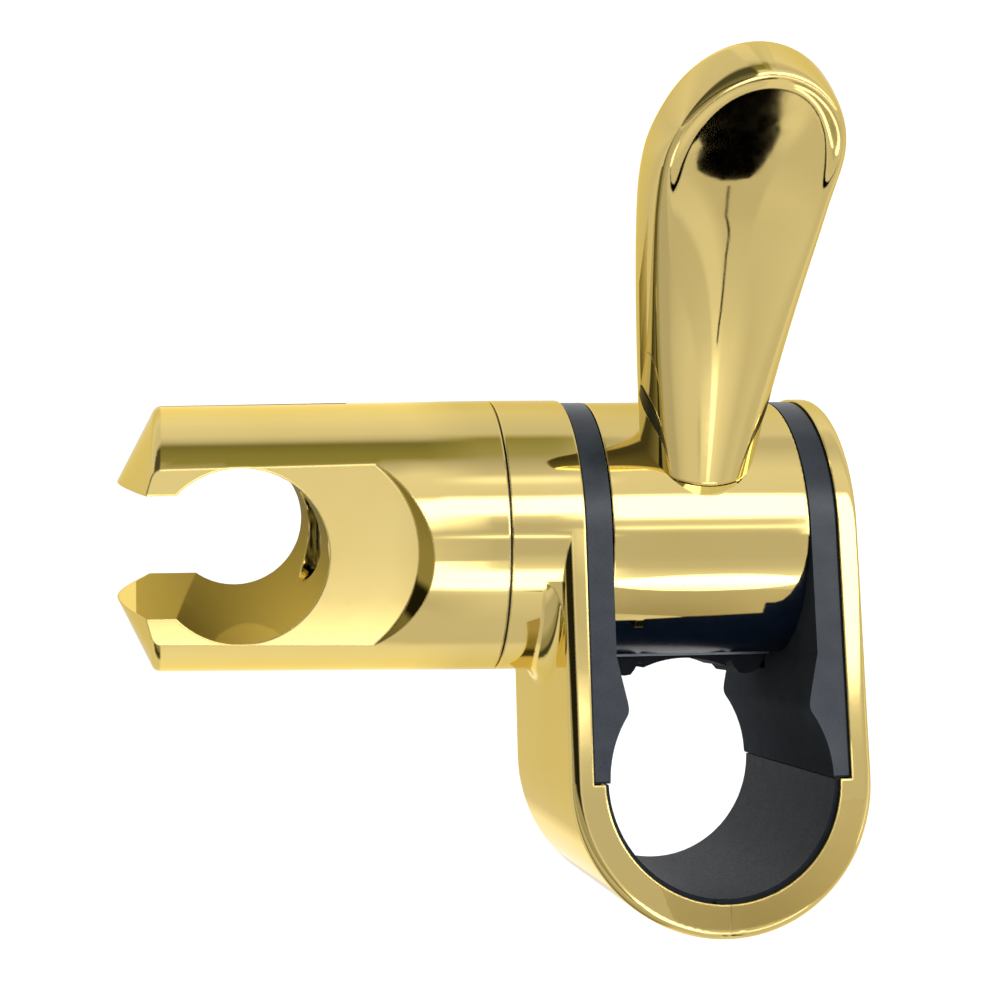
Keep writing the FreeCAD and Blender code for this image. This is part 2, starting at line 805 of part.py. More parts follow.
def make_lever():
    """Gold barrel shell with the stem and thumb paddle in one piece."""
    form = doc.addObject("Part::Feature", "paddle_form")
    form.Shape = Part.makeLoft([paddle_section(place) for place in paddle_places()], True)
    half = barrel_half - d.side_gap
    shell = barrel_cylinder("shell_form", d.barrel_r, half * 2, -half,
                            shell_start, shell_turn)
    trimmed = join("Cut", "shell_trimmed", shell, shell_edge_tool())
    joined = join("Fuse", "shell_and_stem", trimmed, form)
    core = barrel_cylinder("shell_core", shell_inside, barrel_half * 2 + 2.0,
                           -barrel_half - 1.0)
    hollow = join("Cut", "shell_hollow", joined, core)
    tongue = stem_box("drum_tongue", tongue_half, tongue_thick_half, tongue_start,
                      d.barrel_r - 0.2)
    lever = join("Fuse", "lever", hollow, tongue)
    lever.Label = "lever"
    lever.Placement = FreeCAD.Placement(
        FreeCAD.Vector(0, axis_y.value, 0), FreeCAD.Rotation())
    lever.setExpression(".Placement.Base.y", axis_y.formula)
    return lever


def around(angle, radius):
    """A point round the barrel's axis; the angle runs from +Z toward -Y."""
    turned = math.radians(angle)
    return FreeCAD.Vector(0, -radius * math.sin(turned), radius * math.cos(turned))


def make_drum():
    """Dark drum under the shell, with the spiral cam that pushes the brake shoe."""
    low, high = cam_rest_r.value, drum_r.value
    turned = d.cam_turn.value
    spiral_end = cam_bottom - turned
    spiral = Part.BSplineCurve()
    spiral.interpolate([
        around(spiral_end + turned * step / spiral_steps,
               high + (low - high) * step / spiral_steps)
        for step in range(spiral_steps + 1)])
    round_part = Part.Arc(around(spiral_end, high), around(spiral_end / 2 + cam_step / 2 - 180, high),
                          around(cam_step - 360, high))
    step_face = Part.LineSegment(around(cam_step - 360, high), around(cam_step - 360, low))
    rest_part = Part.Arc(around(cam_step - 360, low), around((cam_step + cam_bottom) / 2 - 360, low),
                         around(cam_bottom - 360, low))
    outline = Part.Wire(Part.__sortEdges__([
        spiral.toShape(), round_part.toShape(), step_face.toShape(), rest_part.toShape()]))
    half = barrel_half.value - d.side_gap.value
    solid = Part.Face(outline).extrude(FreeCAD.Vector(half * 2, 0, 0))
    solid.translate(FreeCAD.Vector(-half, 0, 0))
    drum_form = doc.addObject("Part::Feature", "drum_form")
    drum_form.Shape = solid
    hub_gap = washer_thick + 2 * d.running
    tools = [barrel_cylinder("drum_bore", d.pin_r + d.running, clear_cut, -clear_cut * 0.5)]
    for side, word in ((1, "handset_side"), (-1, "free_side")):
        start = barrel_half - hub_gap if side > 0 else -barrel_half
        tools.append(barrel_cylinder(f"washer_seat_{word}", washer_r + 0.3, hub_gap, start))
        for index in range(pocket_count):
            tools.append(drum_pocket(f"pocket_{word}_{index + 1}", side,
                                     360.0 * index / pocket_count))
    tools.append(stem_box("tongue_slot", tongue_half + tongue_play,
                          tongue_thick_half + tongue_play, tongue_start - tongue_play,
                          d.barrel_r + 1.0))
    cutters = doc.addObject("Part::MultiFuse", "drum_cutters")
    cutters.Shapes = tools
    drum = join("Cut", "cam_drum", drum_form, cutters)
    drum.Label = "cam_drum"
    drum.Placement = FreeCAD.Placement(
        FreeCAD.Vector(0, axis_y.value, 0), FreeCAD.Rotation())
    drum.setExpression(".Placement.Base.y", axis_y.formula)
    return drum


def drum_pocket(name, side, turned):
    """One of the moulding's hollows: a sector between hub and rim, open at its end."""
    outer = barrel_cylinder(f"{name}_outer", pocket_outer_r, pocket_deep, 0.0,
                            turned, pocket_turn)
    inner = barrel_cylinder(f"{name}_inner", pocket_inner_r, pocket_deep, 0.0)
    start = (barrel_half - pocket_deep if side > 0 else -barrel_half).value
    pocket = join("Cut", name, outer, inner)
    pocket.Placement = FreeCAD.Placement(FreeCAD.Vector(start, 0, 0), FreeCAD.Rotation())
    return pocket


def make_carrier():
    """Strip that the cam presses, guided by an ear at each end."""
    body = make_body("pad_carrier")
    add_block(body, "carrier_strip", "XY_Plane", -d.shoe_back, d.shoe_back + d.shoe_front,
              rectangle(-shoe_half, shoe_half, shoe_top, shoe_top + d.shoe_wall))
    add_block(body, "carrier_ears", "XY_Plane", -ear_back, ear_back + ear_front,
              rectangle(-ear_reach, ear_reach, shoe_top + 0.1, shoe_top + d.shoe_wall - 0.1))
    return body


def make_pad():
    """Rubber pad with a hollow that fits the rail, two grooves and two outer lobes."""
    body = make_body("brake_pad")
    top = shoe_top + d.shoe_wall
    right = [(pad_half - inward, pad_low - lift) for inward, lift in pad_lobe]
    corners = [(-x, y) for x, y in reversed(right)] + right
    add_block(body, "pad_form", "XY_Plane", pad_inset - d.shoe_back,
              d.shoe_back + d.shoe_front - pad_inset * 2,
              corners + [(pad_half, top), (-pad_half, top)])
    cut_disc(body, "pad_hollow", "XY_Plane", -clear_cut, clear_cut * 2, 0, 0,
             d.bore_r + pad_gap)
    return body


def make_pin():
    """Steel pin: hex head in the collar, thread in the free arm, tapped for the screw."""
    body = make_body("pivot_pin")
    end = 0.1 - boss_face
    add_disc(body, "pin_shank", "YZ_Plane", end, collar_floor - end, axis_y, 0, d.pin_r)
    add_disc(body, "pin_thread", "YZ_Plane", -insert_far + 0.2, end + insert_far - 0.2,
             axis_y, 0, d.pin_thread_r - d.running)
    hexagon = [(axis_y + head_corner_r * math.cos(math.radians(60 * step)),
                0.0 + head_corner_r * math.sin(math.radians(60 * step))) for step in range(6)]
    add_block(body, "pin_head", "YZ_Plane", collar_floor, pin_head, hexagon)
    cut_disc(body, "pin_tapping", "YZ_Plane", tapping_end, clear_cut, axis_y, 0,
             d.screw_r + d.running)
    return body


def make_screw():
    """Cap screw down the well in the socket's wall, with a hex recess."""
    body = make_body("holder_screw")
    under = screw_under
    add_disc(body, "screw_shank", "YZ_Plane", tapping_end + 2.0, under - tapping_end - 2.0,
             axis_y, 0, d.screw_r)
    head = add_disc(body, "screw_cap", "YZ_Plane", under, d.screw_head, axis_y, 0,
                    d.screw_head_r)
    hexagon = [(axis_y + recess_corner_r * math.cos(math.radians(60 * step)),
                0.0 + recess_corner_r * math.sin(math.radians(60 * step)))
               for step in range(6)]
    cut = cut_block(body, "screw_recess", "YZ_Plane", under + d.screw_head - recess_deep,
                    clear_cut, hexagon)
    cap_top = (under + d.screw_head).value

    def cap_edge(edge):
        return all(near(p.x, cap_top)
                   and near(math.hypot(p.y - axis_y.value, p.z), d.screw_head_r.value)
                   for p in edge_points(edge))

    dress(body, "Chamfer", "screw_bevel", cut, cap_edge, cap_bevel)
    return body


def make_small_rings():
    """Bush, joint ring, plain washer and threaded insert round the barrel's axis."""
    items = []
    for label, start, length, inner, outer in (
            ("collar_bush", collar_floor + d.running,
             collar_end - collar_floor - 2 * d.running,
             d.spigot_r + d.running, bush_r),
            ("joint_ring", collar_end, d.joint_gap, bush_r + 0.2, collar_r - 0.4),
            ("screw_washer", screw_under - washer_plate, washer_plate,
             d.screw_r + 0.15, d.screw_well_r - 0.4),
            ("threaded_insert", -insert_far, insert_long,
             d.pin_thread_r, d.insert_r)):
        body = make_body(label)
        ring(body, f"{label}_form", start, length, inner, outer)
        items.append(body)
    return items


def make_disc_spring():
    """Conical spring between the socket's floor and the washer."""
    body = make_body("disc_spring")
    low, high = screw_seat_x + 0.02, screw_under - washer_plate - 0.02
    outer, inner = d.screw_well_r - 0.4, d.screw_r + 0.35
    sheet_thick = 0.35
    turn(body, "Revolution", "spring_cone", "XZ_Plane",
         [(low, outer), (low + sheet_thick, outer), (high, inner),
          (high - sheet_thick, inner)], "H_Axis", -axis_y)
    return body


def make_o_ring():
    item = doc.addObject("Part::Torus", "o_ring")
    item.Label = "o_ring"
    bind(item, "Radius1", ring_floor_r + ring_wire_r + 0.02)
    bind(item, "Radius2", ring_wire_r)
    item.Placement = FreeCAD.Placement(
        FreeCAD.Vector(number(ring_place), axis_y.value, 0),
        FreeCAD.Rotation(FreeCAD.Vector(0, 1, 0), 90))
    item.setExpression(".Placement.Base.x", ring_place.formula)
    item.setExpression(".Placement.Base.y", axis_y.formula)
    return item


def make_thrust_washers():
    """Two thin washers, one at each end of the drum's hub."""
    group = doc.addObject("Part::Compound", "thrust_washers")
    pieces = []
    for word, start in (("handset_side", barrel_half - d.running - washer_thick),
                        ("free_side", -barrel_half + d.running)):
        plate = barrel_cylinder(f"washer_{word}_plate", washer_r, washer_thick, start)
        hole = barrel_cylinder(f"washer_{word}_hole", d.pin_r + 0.15, washer_thick, start)
        pieces.append(join("Cut", f"washer_{word}", plate, hole))
    group.Links = pieces
    group.Label = "thrust_washers"
    group.Placement = FreeCAD.Placement(
        FreeCAD.Vector(0, axis_y.value, 0), FreeCAD.Rotation())
    group.setExpression(".Placement.Base.y", axis_y.formula)
    return group


def check_all(pieces):
    """Stop if any object failed or any piece isn't sound."""
    doc.recompute()
    for item in doc.Objects:
        bad = [state for state in item.State if state in ("Invalid", "Error")]
        if bad:
            raise RuntimeError(f"{item.Label} failed: {bad}")
    for item in pieces:
        if item.Shape.isNull() or not item.Shape.isValid():
            raise RuntimeError(f"{item.Label} isn't sound")


pieces = [
    make_main_body(),
    make_cheek("handset_side_cheek", 1),
    make_cheek("free_side_cheek", -1),
    make_liner(),
    make_holder(),
    make_lever(),
    make_drum(),
    make_carrier(),
    make_pad(),
    make_pin(),
    make_screw(),
    *make_small_rings(),
    make_disc_spring(),
    make_o_ring(),
    make_thrust_washers(),
]
check_all(pieces)
os.makedirs("parts", exist_ok=True)
for piece in pieces:
    piece.Shape.exportStep(f"parts/{piece.Label}.step")
    box = piece.Shape.BoundBox
    print(f"{piece.Label}: {len(piece.Shape.Solids)} solids, {piece.Shape.Volume:.0f} mm3,",
          f"X {box.XMin:.1f}..{box.XMax:.1f}, Y {box.YMin:.1f}..{box.YMax:.1f},",
          f"Z {box.ZMin:.1f}..{box.ZMax:.1f}")
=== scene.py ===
import json
import math

import bmesh
import bpy
from mathutils import Matrix, Vector


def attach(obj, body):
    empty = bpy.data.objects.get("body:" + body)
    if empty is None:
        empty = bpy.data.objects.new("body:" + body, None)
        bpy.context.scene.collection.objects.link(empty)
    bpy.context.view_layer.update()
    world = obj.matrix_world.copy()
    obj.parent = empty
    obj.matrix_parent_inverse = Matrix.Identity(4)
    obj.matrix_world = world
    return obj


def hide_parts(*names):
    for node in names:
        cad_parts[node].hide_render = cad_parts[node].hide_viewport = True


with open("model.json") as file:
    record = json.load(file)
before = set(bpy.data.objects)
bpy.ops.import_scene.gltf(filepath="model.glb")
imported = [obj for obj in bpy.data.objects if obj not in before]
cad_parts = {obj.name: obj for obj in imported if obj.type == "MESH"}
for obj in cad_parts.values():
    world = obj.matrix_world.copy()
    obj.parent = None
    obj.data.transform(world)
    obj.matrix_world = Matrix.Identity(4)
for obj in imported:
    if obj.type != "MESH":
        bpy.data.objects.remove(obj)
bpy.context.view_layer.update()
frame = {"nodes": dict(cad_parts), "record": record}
nodes = frame["nodes"]
MM = 0.001


def add_object(name, data):
    new = bpy.data.objects.new(name, data)
    bpy.context.scene.collection.objects.link(new)
    return new


def placed(place, axes):
    """The matrix of a thing at a place in millimetres, turned to three unit axes."""
    return Matrix.Translation(Vector(place) * MM) @ Matrix(axes).transposed().to_4x4()


# Shader helpers

# A Mix node's sockets for each kind of value: first, second, result
MIX_SOCKETS = {"RGBA": (6, 7, 2), "FLOAT": (2, 3, 0)}
NOISE_RANGE = (0.3, 0.7)
BEVEL_SAMPLES = 6


def add_node(tree, kind, **values):
    node = tree.nodes.new(kind)
    for name, value in values.items():
        setattr(node, name, value)
    return node


def feed(tree, source, target):
    """Link another socket to the target, or set a plain value on it."""
    if isinstance(source, bpy.types.NodeSocket):
        tree.links.new(source, target)
    else:
        target.default_value = source


def opaque(colour):
    return (*colour, 1.0)


def new_material(name):
    material = bpy.data.materials.new(name)
    material.use_nodes = True
    tree = material.node_tree
    shader = next(node for node in tree.nodes if node.type == "BSDF_PRINCIPLED")
    return material, tree, shader


def coordinates(tree, kind):
    return add_node(tree, "ShaderNodeTexCoord").outputs[kind]


def separate(tree, vector):
    """A vector's X, Y and Z as sockets."""
    node = add_node(tree, "ShaderNodeSeparateXYZ")
    feed(tree, vector, node.inputs[0])
    return node.outputs


def maths(tree, operation, *terms):
    node = add_node(tree, "ShaderNodeMath", operation=operation)
    for term, target in zip(terms, node.inputs):
        feed(tree, term, target)
    return node.outputs[0]


def mix(tree, kind, factor, first, second):
    node = add_node(tree, "ShaderNodeMix", data_type=kind)
    first_socket, second_socket, result = MIX_SOCKETS[kind]
    feed(tree, factor, node.inputs["Factor"])
    feed(tree, first, node.inputs[first_socket])
    feed(tree, second, node.inputs[second_socket])
    return node.outputs[result]


def blend_colours(tree, factor, first, second):
    return mix(tree, "RGBA", factor, opaque(first), opaque(second))


def noise(tree, scale, detail, rough=0.5, space=None):
    """Noise in the part's own metres, with a scale in waves per metre."""
    place = space or coordinates(tree, "Object")
    texture = add_node(tree, "ShaderNodeTexNoise")
    feed(tree, scale, texture.inputs["Scale"])
    feed(tree, detail, texture.inputs["Detail"])
    feed(tree, rough, texture.inputs["Roughness"])
    feed(tree, place, texture.inputs["Vector"])
    return texture.outputs["Fac"]


def spread(tree, source, low, high, usual=NOISE_RANGE):
    """Stretch a value so that its usual range runs from low to high."""
    node = add_node(tree, "ShaderNodeMapRange")
    feed(tree, source, node.inputs["Value"])
    ends = ("From Min", "From Max", "To Min", "To Max")
    for name, value in zip(ends, (*usual, low, high)):
        feed(tree, value, node.inputs[name])
    return node.outputs["Result"]


def add_bump(tree, shader, height, distance, strength=1.0, edge=0.0):
    """Bump over the piece's normals, with its sharp edges softened where edge is above 0."""
    node = add_node(tree, "ShaderNodeBump")
    feed(tree, distance, node.inputs["Distance"])
    feed(tree, strength, node.inputs["Strength"])
    feed(tree, height, node.inputs["Height"])
    if edge:
        soft = add_node(tree, "ShaderNodeBevel", samples=BEVEL_SAMPLES)
        feed(tree, edge, soft.inputs["Radius"])
        feed(tree, soft.outputs["Normal"], node.inputs["Normal"])
    feed(tree, node.outputs["Normal"], shader.inputs["Normal"])


# Materials: scales are in waves per metre, depths and radii in metres

GOLD_TONES = ((0.735, 0.572, 0.222), (0.715, 0.548, 0.2))
GOLD_TINT = (1.0, 0.86, 0.46)
# Painted reflection tint: a nearly neutral base colour that only reflected rays see on the plating,
# not the gold's own colour
GOLD_PAINTED_REFLECTION_TINT = (0.72, 0.69, 0.5)
GOLD_TONE_SCALE = 90.0
GOLD_HAZE_SCALE = 700.0
GOLD_HAZE = (0.025, 0.05)
GOLD_WAVE_SCALE = 260.0
GOLD_WAVE_DEPTH = 0.00002
GOLD_WAVE_STRENGTH = 0.15
GOLD_EDGE = 0.0003


def make_gold():
    """Polished plating: nearly a mirror, with faint moulding waves and fine handling haze.

    Light that a mirror has already turned once finds a nearly neutral colour, so that double
    reflections are olive as in the photo.
    """
    material, tree, shader = new_material("gold_finish")
    feed(tree, 1.0, shader.inputs["Metallic"])
    feed(tree, opaque(GOLD_TINT), shader.inputs["Specular Tint"])
    tone = spread(tree, noise(tree, GOLD_TONE_SCALE, detail=3.0), 0.0, 1.0)
    direct = blend_colours(tree, tone, *GOLD_TONES)
    # Painted reflection tint: rays that a mirror has already turned see this nearly neutral colour
    # painted in place of the gold
    mirrored = add_node(tree, "ShaderNodeLightPath").outputs["Is Glossy Ray"]
    colour = mix(tree, "RGBA", mirrored, direct, opaque(GOLD_PAINTED_REFLECTION_TINT))
    feed(tree, colour, shader.inputs["Base Color"])
    haze = spread(tree, noise(tree, GOLD_HAZE_SCALE, detail=6.0, rough=0.6), *GOLD_HAZE)
    feed(tree, haze, shader.inputs["Roughness"])
    waves = noise(tree, GOLD_WAVE_SCALE, detail=2.0, rough=0.4)
    add_bump(tree, shader, waves, GOLD_WAVE_DEPTH, GOLD_WAVE_STRENGTH, GOLD_EDGE)
    return material


MATT = 1.0
SIDE_RANGE = (0.6, 0.8)


def matt_sides(tree, roughness):
    """The plates' flat sides, square to X, keep the mould's matt texture."""
    turned = separate(tree, coordinates(tree, "Normal"))["X"]
    side = spread(tree, maths(tree, "ABSOLUTE", turned), 0.0, 1.0, SIDE_RANGE)
    return mix(tree, "FLOAT", side, roughness, MATT)


PLASTIC_TONE_SCALE = 400.0


def make_plastic(name, tones, rough, grain, depth, gloss=0.5, matt=False):
    """Moulded plastic or rubber: two tones, and a grain that is felt in gloss and bump."""
    material, tree, shader = new_material(name)
    feed(tree, gloss, shader.inputs["Specular IOR Level"])
    tone = spread(tree, noise(tree, PLASTIC_TONE_SCALE, detail=5.0), 0.0, 1.0)
    feed(tree, blend_colours(tree, tone, *tones), shader.inputs["Base Color"])
    speck = noise(tree, grain, detail=3.0, rough=0.6)
    roughness = spread(tree, speck, *rough)
    if matt:
        roughness = matt_sides(tree, roughness)
    feed(tree, roughness, shader.inputs["Roughness"])
    add_bump(tree, shader, speck, depth)
    return material


BRUSH_STRETCH = (0.06, 1.0, 1.0)
BRUSH_SCALE = 9000.0
BRUSH_DEPTH = 0.000004
BRUSH_SMOOTHER, BRUSH_ROUGHER = 0.06, 0.08


def make_brushed(name, tones, rough):
    """Steel strip or fastener with fine lines along X."""
    material, tree, shader = new_material(name)
    feed(tree, 1.0, shader.inputs["Metallic"])
    stretch = add_node(tree, "ShaderNodeMapping")
    feed(tree, BRUSH_STRETCH, stretch.inputs["Scale"])
    feed(tree, coordinates(tree, "Object"), stretch.inputs["Vector"])
    lines = noise(tree, BRUSH_SCALE, detail=3.0, rough=0.6, space=stretch.outputs["Vector"])
    tone = spread(tree, lines, 0.0, 1.0)
    feed(tree, blend_colours(tree, tone, *tones), shader.inputs["Base Color"])
    roughness = spread(tree, lines, rough - BRUSH_SMOOTHER, rough + BRUSH_ROUGHER)
    feed(tree, roughness, shader.inputs["Roughness"])
    add_bump(tree, shader, lines, BRUSH_DEPTH)
    return material


FINISHES = {
    "gold_finish": make_gold(),
    "dark_plastic": make_plastic(
        "dark_plastic", ((0.012, 0.017, 0.025), (0.021, 0.027, 0.037)),
        rough=(0.26, 0.36), grain=5200.0, depth=0.000012, gloss=0.35, matt=True),
    "liner_plastic": make_plastic(
        "liner_plastic", ((0.006, 0.009, 0.014), (0.011, 0.015, 0.022)),
        rough=(0.42, 0.58), grain=4200.0, depth=0.00001, gloss=0.1),
    "drum_plastic": make_plastic(
        "drum_plastic", ((0.0012, 0.0035, 0.009), (0.003, 0.006, 0.013)),
        rough=(0.14, 0.26), grain=2600.0, depth=0.000005),
    "pad_rubber": make_plastic(
        "pad_rubber", ((0.005, 0.006, 0.008), (0.009, 0.01, 0.013)),
        rough=(0.55, 0.75), grain=3800.0, depth=0.00003, gloss=0.04),
    "bearing_plastic": make_plastic(
        "bearing_plastic", ((0.62, 0.61, 0.56), (0.68, 0.67, 0.63)),
        rough=(0.35, 0.5), grain=3000.0, depth=0.00001),
    "carrier_metal": make_brushed(
        "carrier_metal", ((0.09, 0.1, 0.11), (0.14, 0.15, 0.17)), rough=0.3),
    "steel": make_brushed("steel", ((0.45, 0.45, 0.46), (0.56, 0.56, 0.57)), rough=0.26),
    "brass": make_brushed("brass", ((0.66, 0.49, 0.2), (0.74, 0.56, 0.26)), rough=0.24),
}

for part in frame["record"]["subparts"]:
    materials = nodes[part["node"]].data.materials
    materials.clear()
    materials.append(FINISHES[part["material_slot"]])


# Lever: its paddle repeats the CAD's own formula as a fine mesh, so that its reflections flow.
# Lengths are in millimetres. "along" runs up the stem from the barrel's axis, "across" from its
# middle to either side, and heights stand out of its face.

LEAN = math.radians(40.0)
AXIS_Y = -27.7
BARREL_R = 15.7
REACH = 63.08

# Outline: a stem that widens up to the peak, then half an ellipse
HALF_WIDE = 10.55
PEAK = 50.0
STEM_FLARE = 0.13
STEM_ROUND = 0.905

# Middle line: it bends back toward the root and forward at the tip
BEND_START = 45.0
BEND_RUN = 24.4
BEND_RISE = 2.1
BEND_LOW = 0.403
TIP_RUN = 12.0
TIP_RISE = 1.9

# Side wall and the crest over it, at the root and at the tip
WALL_ROOT, WALL_TIP = 2.6, 5.8
WALL_BEHIND = 0.55
WALL_FROM, WALL_TO = 10.0, 58.0
CREST_ROOT, CREST_TIP = 3.4, 2.5
POWER_ROOT, POWER_TIP = 2.0, 4.2
LIFT_ROOT, LIFT_TIP = 2.0, 1.4
BACK_RIM = 2.3

# Swell of the stem, in front and behind
SWELL_FRONT, SWELL_BACK = 3.7, 3.4
SWELL_START, SWELL_END = 8.0, 58.0

# The face's middle line: place along the stem, height and slope
FACE_LINE = [(13.0, 9.33, -0.231), (30.0, 5.65, -0.185), (44.0, 3.72, -0.096),
             (50.0, 3.54, 0.035), (56.0, 4.11, 0.155), (63.2, 5.28, 0.172)]
CREST_WIDE = 2.8

# Mesh: rows up the stem and round the tip, places over each side's rim and over the face
STEM_FROM = 13.6
STEM_ROWS, TIP_ROWS = 90, 70
TIP_TURN, TIP_CROWD = 89.7, 0.8
SIDE_STEPS, FACE_STEPS = 14, 44
RIM_WIDE, RIM_SHARE, RIM_CROWD = 2.4, 0.5, 2.2

# Guards where the ellipse's middle and the tip's width leave nothing to divide by
MIDDLE_RATIO = 0.0001
THINNEST = 0.01

# What of the lever node stays as the shell: faces no farther out than this over the barrel
SHELL_MARGIN = 0.03


def lever_point(across, out, along):
    """A point in the lever's own directions: across, out of its face, along its stem."""
    return Vector((across,
                   AXIS_Y + out * math.sin(LEAN) - along * math.cos(LEAN),
                   out * math.cos(LEAN) + along * math.sin(LEAN))) * MM


def clamp(value):
    return min(1.0, max(0.0, value))


def smooth(value, low, high):
    share = clamp((value - low) / (high - low))
    return share * share * (3 - 2 * share)


def half_width(along):
    if along > PEAK:
        return HALF_WIDE * math.sqrt(max(0.0, 1 - ((along - PEAK) / (REACH - PEAK)) ** 2))
    return HALF_WIDE - (math.hypot(STEM_ROUND, STEM_FLARE * (PEAK - along)) - STEM_ROUND)


def inside_edge(across, along):
    """How far a place on the paddle is inside its outline."""
    if along <= PEAK:
        return half_width(along) - abs(across)
    ratio = math.hypot(across / HALF_WIDE, (along - PEAK) / (REACH - PEAK))
    if ratio < MIDDLE_RATIO:
        return HALF_WIDE
    return (1 - ratio) * math.hypot(across, along - PEAK) / ratio


def middle_line(along):
    if along < BEND_START:
        return BEND_RISE * ((BEND_START - along) / BEND_RUN) ** 2 - BEND_LOW
    return TIP_RISE * smooth(along, BEND_START, BEND_START + TIP_RUN) - BEND_LOW


def wall_share(along):
    return clamp((along - WALL_FROM) / (WALL_TO - WALL_FROM))


def wall_high(along):
    return WALL_ROOT + (WALL_TIP - WALL_ROOT) * wall_share(along)


def widest_line(along):
    """Height of the widest line: the side wall stands partly behind the stem's middle."""
    return middle_line(along) - WALL_BEHIND * (wall_high(along) - BACK_RIM)


def wall_rise(across, along):
    """Side wall that stands almost square to the face, then the crest's rounding."""
    share = wall_share(along)
    wide = CREST_ROOT + (CREST_TIP - CREST_ROOT) * share
    power = POWER_ROOT + (POWER_TIP - POWER_ROOT) * share
    lift = LIFT_ROOT + (LIFT_TIP - LIFT_ROOT) * share
    inside = clamp(inside_edge(across, along) / wide)
    return wall_high(along) * (1 - (1 - inside) ** power) ** (1 / lift)


def back_rise(across, along):
    inside = clamp(inside_edge(across, along) / BACK_RIM)
    return BACK_RIM * math.sqrt(1 - (1 - inside) ** 2)


def ridge(across, along, root, end):
    share = 1 - smooth(along, SWELL_START, end)
    wide = max(half_width(along), THINNEST)
    return root * share * (1 - (across / wide) ** 2)


def ridged_height(across, along):
    return (widest_line(along) + wall_rise(across, along)
            + ridge(across, along, SWELL_FRONT, SWELL_END))


def face_line(along):
    """Height on the face's middle line, as a smooth curve through its given places."""
    for (start, low, rise), (end, high, next_rise) in zip(FACE_LINE, FACE_LINE[1:]):
        if along <= end:
            break
    length = end - start
    share = (along - start) / length
    rest = 1 - share
    return (low * rest * rest * (1 + 2 * share) + high * share * share * (1 + 2 * rest)
            + length * share * rest * (rise * rest - next_rise * share))


def front_height(across, along):
    """The ridged form, eased toward one smooth middle line inside its crest."""
    inside = smooth(inside_edge(across, along), 0.0, CREST_WIDE)
    return (ridged_height(across, along)
            + (face_line(along) - ridged_height(0.0, along)) * inside)


def back_height(across, along):
    return (widest_line(along) - back_rise(across, along)
            - ridge(across, along, SWELL_BACK, REACH))


def across_places(wide):
    """Places from one edge to the other, close together where the wall and crest turn."""
    rim = min(RIM_WIDE, wide * RIM_SHARE)
    edge = [wide - rim * (step / SIDE_STEPS) ** RIM_CROWD for step in range(SIDE_STEPS)]
    inner = wide - rim
    face = [inner * (1 - 2 * step / FACE_STEPS) for step in range(FACE_STEPS + 1)]
    return edge + face + [-place for place in reversed(edge)]


def along_places():
    """Places from the root to the tip, close together where the tip turns."""
    stem = [STEM_FROM + (PEAK - STEM_FROM) * row / STEM_ROWS for row in range(STEM_ROWS)]
    turns = [math.radians(TIP_TURN * (row / TIP_ROWS) ** TIP_CROWD)
             for row in range(TIP_ROWS + 1)]
    return stem + [PEAK + (REACH - PEAK) * math.sin(turn) for turn in turns]


def make_paddle():
    """The paddle as rings round its stem, each ring front face first and then the back."""
    points, faces = [], []
    places = along_places()
    for along in places:
        line = across_places(half_width(along))
        front = [lever_point(x, front_height(x, along), along) for x in line]
        back = [lever_point(x, back_height(x, along), along) for x in reversed(line[1:-1])]
        points += front + back
    count = len(points) // len(places)
    for row in range(len(places) - 1):
        for step in range(count):
            near, far = row * count + step, row * count + (step + 1) % count
            faces.append((near, far, far + count, near + count))
    faces.append(tuple(range(count - 1, -1, -1)))
    faces.append(tuple((len(places) - 1) * count + step for step in range(count)))
    mesh = bpy.data.meshes.new("lever_paddle")
    mesh.from_pydata([tuple(point) for point in points], [], faces)
    mesh.validate()
    work = bmesh.new()
    work.from_mesh(mesh)
    bmesh.ops.recalc_face_normals(work, faces=work.faces)
    work.to_mesh(mesh)
    work.free()
    for polygon in mesh.polygons:
        polygon.use_smooth = True
    mesh.materials.append(FINISHES["gold_finish"])
    return mesh


def shell_of_lever():
    """The barrel shell of the lever node, without the faces of its paddle."""
    mesh = nodes["lever"].data.copy()
    work = bmesh.new()
    work.from_mesh(mesh)
    limit = BARREL_R + SHELL_MARGIN
    drop = [face for face in work.faces
            if any(math.hypot(v.co.y / MM - AXIS_Y, v.co.z / MM) > limit for v in face.verts)]
    bmesh.ops.delete(work, geom=drop, context="FACES")
    work.to_mesh(mesh)
    work.free()
    return mesh


for piece_name, piece_mesh in (("lever_paddle", make_paddle()), ("lever_shell", shell_of_lever())):
    piece = add_object(piece_name, piece_mesh)
    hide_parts("lever")
    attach(piece, "lever")


# Sky: soft strips and panels as bands of light, with levels from 0 to SKY_TOP

SKY_TOP = 6.0
# Levels below the first take on their column's tint, wholly so at the second.
DARK_BELOW, DARK_FULL = 0.62, 0.4
OLIVE = (1.0, 1.0, 0.42)
PALE_OLIVE = (1.0, 1.0, 0.75)

